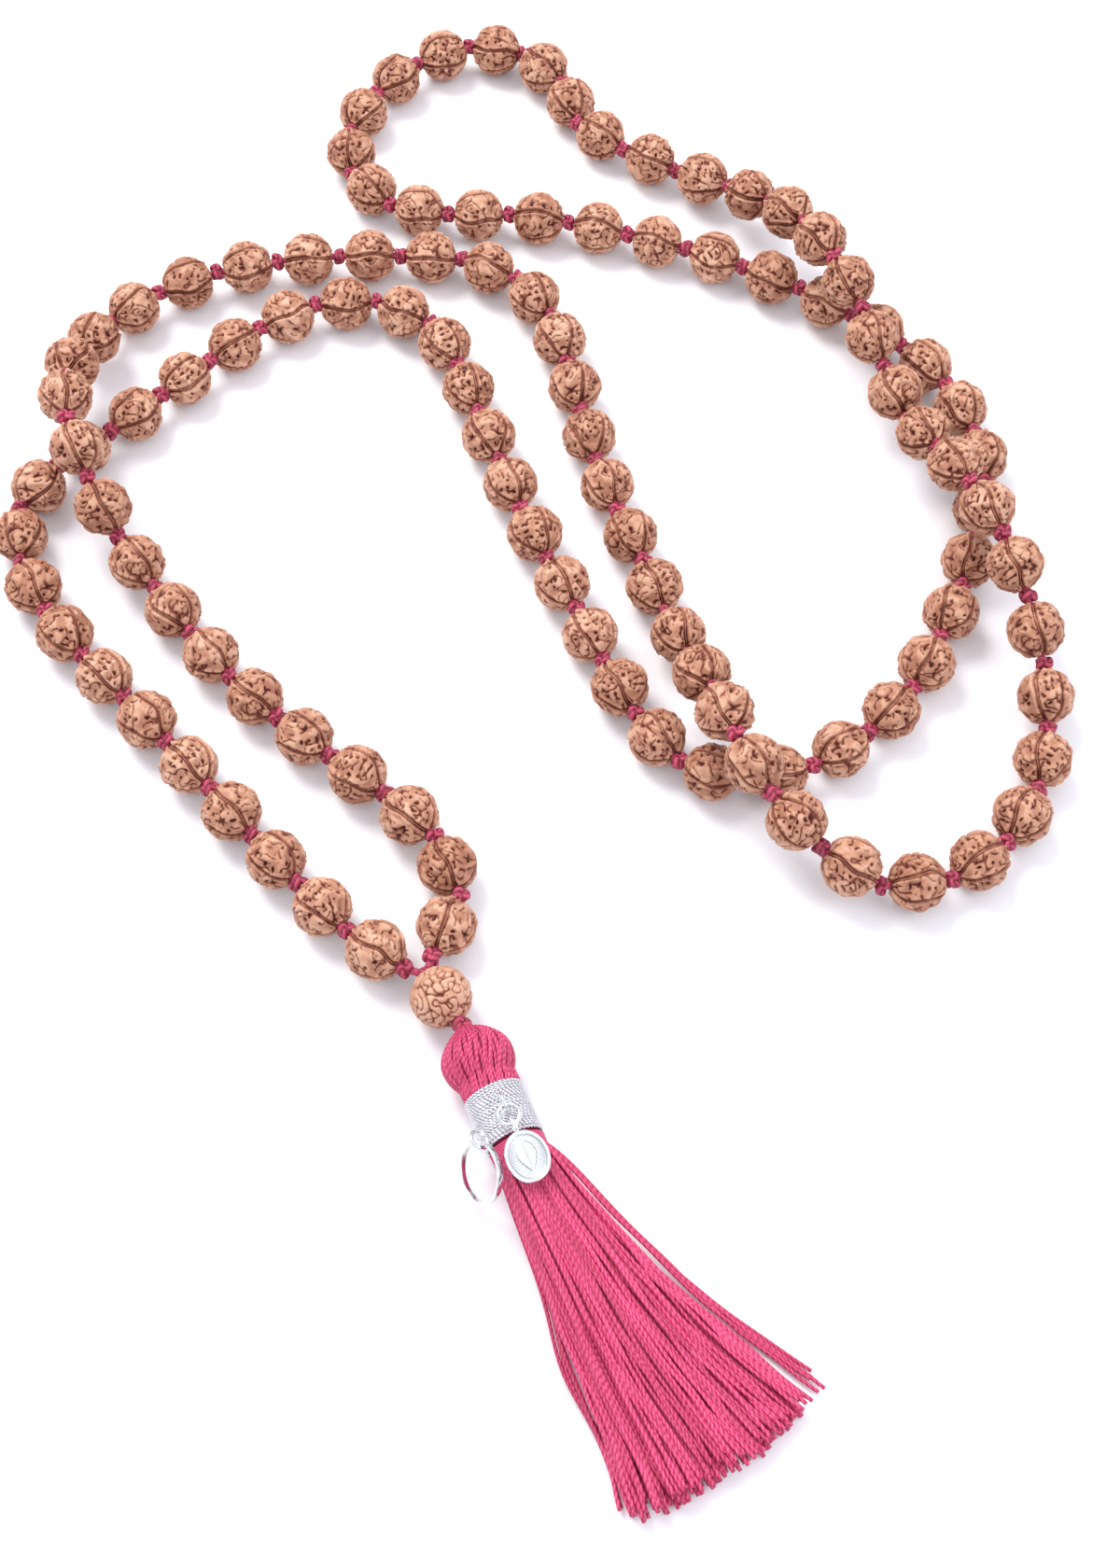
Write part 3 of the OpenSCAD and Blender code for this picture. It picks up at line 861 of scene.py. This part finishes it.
def skirt_path(rng, place, layer, tip=0.0):
    """One thread of the skirt. place runs from -1, the left edge, to 1; layer from 0, the lowest, to 1."""
    root_r = BINDING_D / 2 - 0.35
    root_y = place * root_r
    root_half = math.sqrt(max(root_r ** 2 - root_y ** 2, 0))
    root_z = AXIS_Z + (2 * layer - 1) * root_half
    angle = SKIRT_TURN + place * SKIRT_SPREAD + rng.normal(0, 0.010) + tip
    reach = SKIRT_LEN - 0.9 + rng.uniform(-1.6, 0.9)
    end = np.array([SKIRT_X + reach * math.cos(angle), reach * math.sin(angle),
                    0.45 + layer * (SKIRT_END_H - 0.8)])
    t = np.linspace(0, 1, SKIRT_STEPS)[:, None]
    start = np.array([SKIRT_X - 0.5, root_y, root_z])
    path = start + (end - start) * t
    path[:, 1] -= (end[1] - root_y) * 0.10 * np.sin(t[:, 0] * math.pi)
    path[:, 2] -= (root_z - end[2]) * 0.16 * np.sin(t[:, 0] * math.pi)
    free = np.sin(t[:, 0] * math.pi / 2)
    for wave in SKIRT_WAVES:
        swing = rng.normal(0, SKIRT_SWING / wave)
        path[:, 1] += free * swing * np.sin(t[:, 0] * wave * TURN + rng.uniform(0, TURN))
        path[:, 2] += 0.4 * free * swing * np.sin(t[:, 0] * wave * TURN + rng.uniform(0, TURN))
    return path


def stray_off(side, t):
    """Share of its offset along a stray: lasting on the right, and a bulge on the left."""
    return (1 - np.exp(-t / 0.1)) * (1 - 0.5 * t) if side > 0 else bell(t - 0.63, 0.2)


def add_skirt():
    """Loose threads in layers, from the table up, with a few strays off both sides."""
    rng = np.random.default_rng(19)
    t = np.linspace(0, 1, SKIRT_STEPS)
    clumps = SKIRT_THREADS // CLUMP + 1
    for k, layer in enumerate(SKIRT_LAYERS):
        bundle = Bundle()
        shift = rng.normal(0, 0.035, clumps)
        lift = rng.normal(0, 0.07, clumps)
        for j in range(SKIRT_THREADS):
            draw = CLUMP_DRAW * ((j % CLUMP) / (CLUMP - 1) - 0.5) * 2 * CLUMP / SKIRT_THREADS
            place = -1 + 2 * (j + rng.uniform(-0.3, 0.3)) / (SKIRT_THREADS - 1) + shift[j // CLUMP] - draw
            place = min(max(place, -1.02), 1.02)
            height = layer + lift[j // CLUMP] * (0.1 < layer) + rng.uniform(-0.03, 0.03)
            path = skirt_path(rng, place, min(height, 1.03))
            radius = SKIRT_THREAD_R + 0.045 * t ** 0.7 + rng.uniform(-0.015, 0.02)
            path[:, 2] = np.maximum(path[:, 2], radius + 0.02)
            hang_thread(bundle, path, radius, rng.uniform(),
                        pitch=rng.uniform(0.7, 0.95), start=rng.uniform(0, TURN))
        name = f"skirt_threads_{k + 1}"
        add_piece(name, bundle.mesh(name, SILK), "tassel", "silk", "tassel_skirt")
    bundle = Bundle()
    for side, off, tip in STRAYS:
        path = skirt_path(rng, side, 0.4, side * tip)
        path[:, 1] += side * off * stray_off(side, t)
        path[:, 2] = np.maximum(path[:, 2] * (1 - 0.5 * np.sin(t * math.pi / 2)), 0.3)
        hang_thread(bundle, path, STRAY_R, rng.uniform(0.4, 1), pitch=0.8)
    add_piece("skirt_strays", bundle.mesh("skirt_strays", SILK), "tassel", "silk", "tassel_skirt")


# ---------------------------------------------------------------- silver trim

EYELET_X = WRAP_X + WRAP_LEN / 2
HOOP_EYELET_X = BINDING_X - EYELET_D / 2 - 0.2
EYELET_SINK = 0.4
EYELET_RISE = WRAP_D / 2 - EYELET_SINK + EYELET_D / 2 + WIRE_D / 2
LINK_R = EYELET_D / 2 - WIRE_D - 0.12
LINK_ANGLE = math.radians(37)
RING_X = EYELET_X + LINK_R * math.cos(LINK_ANGLE) + JUMP_RING_D / 2
RING_Z = EYELET_RISE + LINK_R * math.sin(LINK_ANGLE)
CHARM_EYE_X = RING_X + JUMP_RING_D / 2 + CHARM_EYE_D / 2 - WIRE_D - 0.12
CHARM_X = CHARM_EYE_D / 2 + CHARM_LEN / 2 - 0.1
CHARM_TILT = math.radians(11)
HOOP_TURN = math.radians(58)
HOOP_DROP = 2.2
HOOP_X = HOOP_EYELET_X + LINK_R / 2 + math.sqrt((HOOP_D / 2) ** 2 - HOOP_DROP ** 2)
HOOP_STEPS, HOOP_CORNER_STEPS, HOOP_CORNER_R = 160, 5, 0.1
RING_TURN, RING_GAP = 2.2, 0.03
UPRIGHT = Matrix.Rotation(math.pi / 2, 4, "X")
LEAF_HALF_LEN, LEAF_HALF_W, LEAF_RISE = 1.9, 1.25, 0.20
MEDAL_RINGS, MEDAL_STEPS = 70, 160
FIELD_T, RIM_RISE, LINE_RISE, LINE_PITCH = 0.16, 0.26, 0.022, 0.27


def on_axis(turn, x, y, z):
    """A place in the tassel's frame, turned about its axis."""
    return AXIS @ Matrix.Rotation(turn, 4, "X") @ Matrix.Translation((x, y, z))


def wire_ring(mean_d, matrix, around=96, sides=20, gap=0.0):
    """A ring of round wire in its own x-y plane, with an optional fine gap where its ends meet."""
    angle = np.linspace(gap, TURN - gap, around, endpoint=gap > 0)
    turn = np.arange(sides) / sides * TURN
    a, b = np.meshgrid(angle, turn, indexing="ij")
    reach = mean_d / 2 + WIRE_D / 2 * np.cos(b)
    points = np.stack([reach * np.cos(a), reach * np.sin(a), WIRE_D / 2 * np.sin(b)], -1).reshape(-1, 3)
    faces = as_faces(grid_faces(around, sides, closed_rows=gap == 0))
    if gap:
        faces += [tuple(range(sides)), tuple((around - 1) * sides + k for k in range(sides))[::-1]]
    return moved(points, matrix), faces


def add_ring(name, mean_d, matrix, body, node, gap=0.0):
    points, faces = wire_ring(mean_d, matrix, gap=gap)
    add_piece(name, make_mesh(name, points, faces, SILVER), body, "silver", node)


def leaf_height(u, v):
    """Raised leaf in the middle of the charm: u along it and v across, both in millimetres."""
    t = np.clip((u + LEAF_HALF_LEN) / (2 * LEAF_HALF_LEN), 0, 1)
    half = LEAF_HALF_W * np.sin(t ** 0.8 * math.pi) ** 0.9 * (1 - 0.25 * t)
    inside = 1 / (1 + np.exp((np.abs(v) - half) / 0.05))
    inside = inside * (np.abs(u) < LEAF_HALF_LEN)
    vein = bell(v, 0.09)
    side_veins = bell((u - 0.8 * np.abs(v)) % 0.62 - 0.31, 0.07)
    return inside * (LEAF_RISE - 0.10 * vein - 0.05 * side_veins * (np.abs(v) > 0.15))


def charm_mesh():
    """Oval medal: a raised rim, fine engraved lines on its field and a leaf in relief, on both faces."""
    angle = np.arange(MEDAL_STEPS) / MEDAL_STEPS * TURN
    share = np.linspace(0.005, 1, MEDAL_RINGS)[:, None]
    u = share * CHARM_LEN / 2 * np.cos(angle)
    v = share * CHARM_W / 2 * np.sin(angle)
    edge = (1 - share) * CHARM_W / 2 + 0 * u
    rim = np.exp(-((edge - 0.27) / 0.2) ** 4)
    lines = LINE_RISE * np.cos(u * TURN / LINE_PITCH) * (edge > 0.5)
    leaf = leaf_height(u, v)
    lines = lines * (leaf < 0.02)
    thick = FIELD_T + RIM_RISE * rim + leaf + lines
    thick = np.minimum(thick, CHARM_T / 2) * np.sqrt(np.clip(edge / 0.10, 0.0, 1))
    relief = np.clip((thick - 0.13) / 0.2, 0, 1)
    top = np.stack([u, v, thick], -1).reshape(-1, 3)
    bottom = np.stack([u, v, -thick], -1).reshape(-1, 3)
    faces = grid_faces(MEDAL_RINGS, MEDAL_STEPS)
    count = len(top)
    inner_cap = [tuple(range(MEDAL_STEPS))[::-1], tuple(count + k for k in range(MEDAL_STEPS))]
    joined = as_faces(faces[:, ::-1]) + as_faces(faces + count)
    shift = Matrix.Translation((CHARM_X, 0, 0))
    plate = moved(np.concatenate([top, bottom]), shift)
    eye, eye_faces = wire_ring(CHARM_EYE_D, UPRIGHT, around=64)
    total = 2 * count
    faces = joined + inner_cap + [tuple(k + total for k in f) for f in eye_faces]
    points = np.concatenate([plate, eye])
    matrix = on_axis(0, CHARM_EYE_X, 0, RING_Z) @ Matrix.Rotation(CHARM_TILT, 4, "Y")
    values = {"relief": np.concatenate([relief.ravel(), relief.ravel(), np.ones(len(eye))])}
    return make_mesh("charm_medal", moved(points, matrix), faces, ENGRAVED, values)


def hoop_mesh():
    """Flat polished band with softened edges."""
    flat_w, flat_h = HOOP_WALL / 2 - HOOP_CORNER_R, HOOP_BAND / 2 - HOOP_CORNER_R
    section = []
    for k, (sx, sz) in enumerate(((1, 1), (-1, 1), (-1, -1), (1, -1))):
        for a in np.linspace(0, math.pi / 2, HOOP_CORNER_STEPS) + k * math.pi / 2:
            section.append((sx * flat_w + HOOP_CORNER_R * math.cos(a),
                            sz * flat_h + HOOP_CORNER_R * math.sin(a)))
    section = np.array(section)
    angle = np.arange(HOOP_STEPS) / HOOP_STEPS * TURN
    reach = HOOP_D / 2 + section[:, 0]
    points = np.stack([np.outer(np.cos(angle), reach), np.outer(np.sin(angle), reach),
                       np.tile(section[:, 1], (HOOP_STEPS, 1))], -1).reshape(-1, 3)
    faces = grid_faces(HOOP_STEPS, len(section), closed_rows=True)
    matrix = on_axis(HOOP_TURN, HOOP_X, -HOOP_DROP, EYELET_RISE)
    return make_mesh("hoop_band", moved(points, matrix), faces, SILVER)


def add_silver():
    """The two eyelets, the ring that links the charm on, the charm and the hoop."""
    add_ring("charm_eyelet_ring", EYELET_D, on_axis(0, EYELET_X, 0, EYELET_RISE) @ UPRIGHT,
             "tassel", "charm_eyelet")
    add_ring("hoop_eyelet_ring", EYELET_D, on_axis(HOOP_TURN, HOOP_EYELET_X, 0, EYELET_RISE) @ UPRIGHT,
             "tassel", "hoop_eyelet")
    turned = Matrix.Rotation(RING_TURN, 4, "Z")
    add_ring("linking_ring", JUMP_RING_D, on_axis(0, RING_X, 0, RING_Z) @ turned,
             "jump_ring", "jump_ring", gap=RING_GAP)
    add_piece("charm_medal", charm_mesh(), "charm", "silver", "charm")
    add_piece("hoop_band", hoop_mesh(), "hoop", "silver", "hoop")


# ---------------------------------------------------------------- all together

cord = add_cord()
add_lashing()
knots = add_knots()
add_seeds()
add_head()
add_windings()
add_skirt()
add_silver()
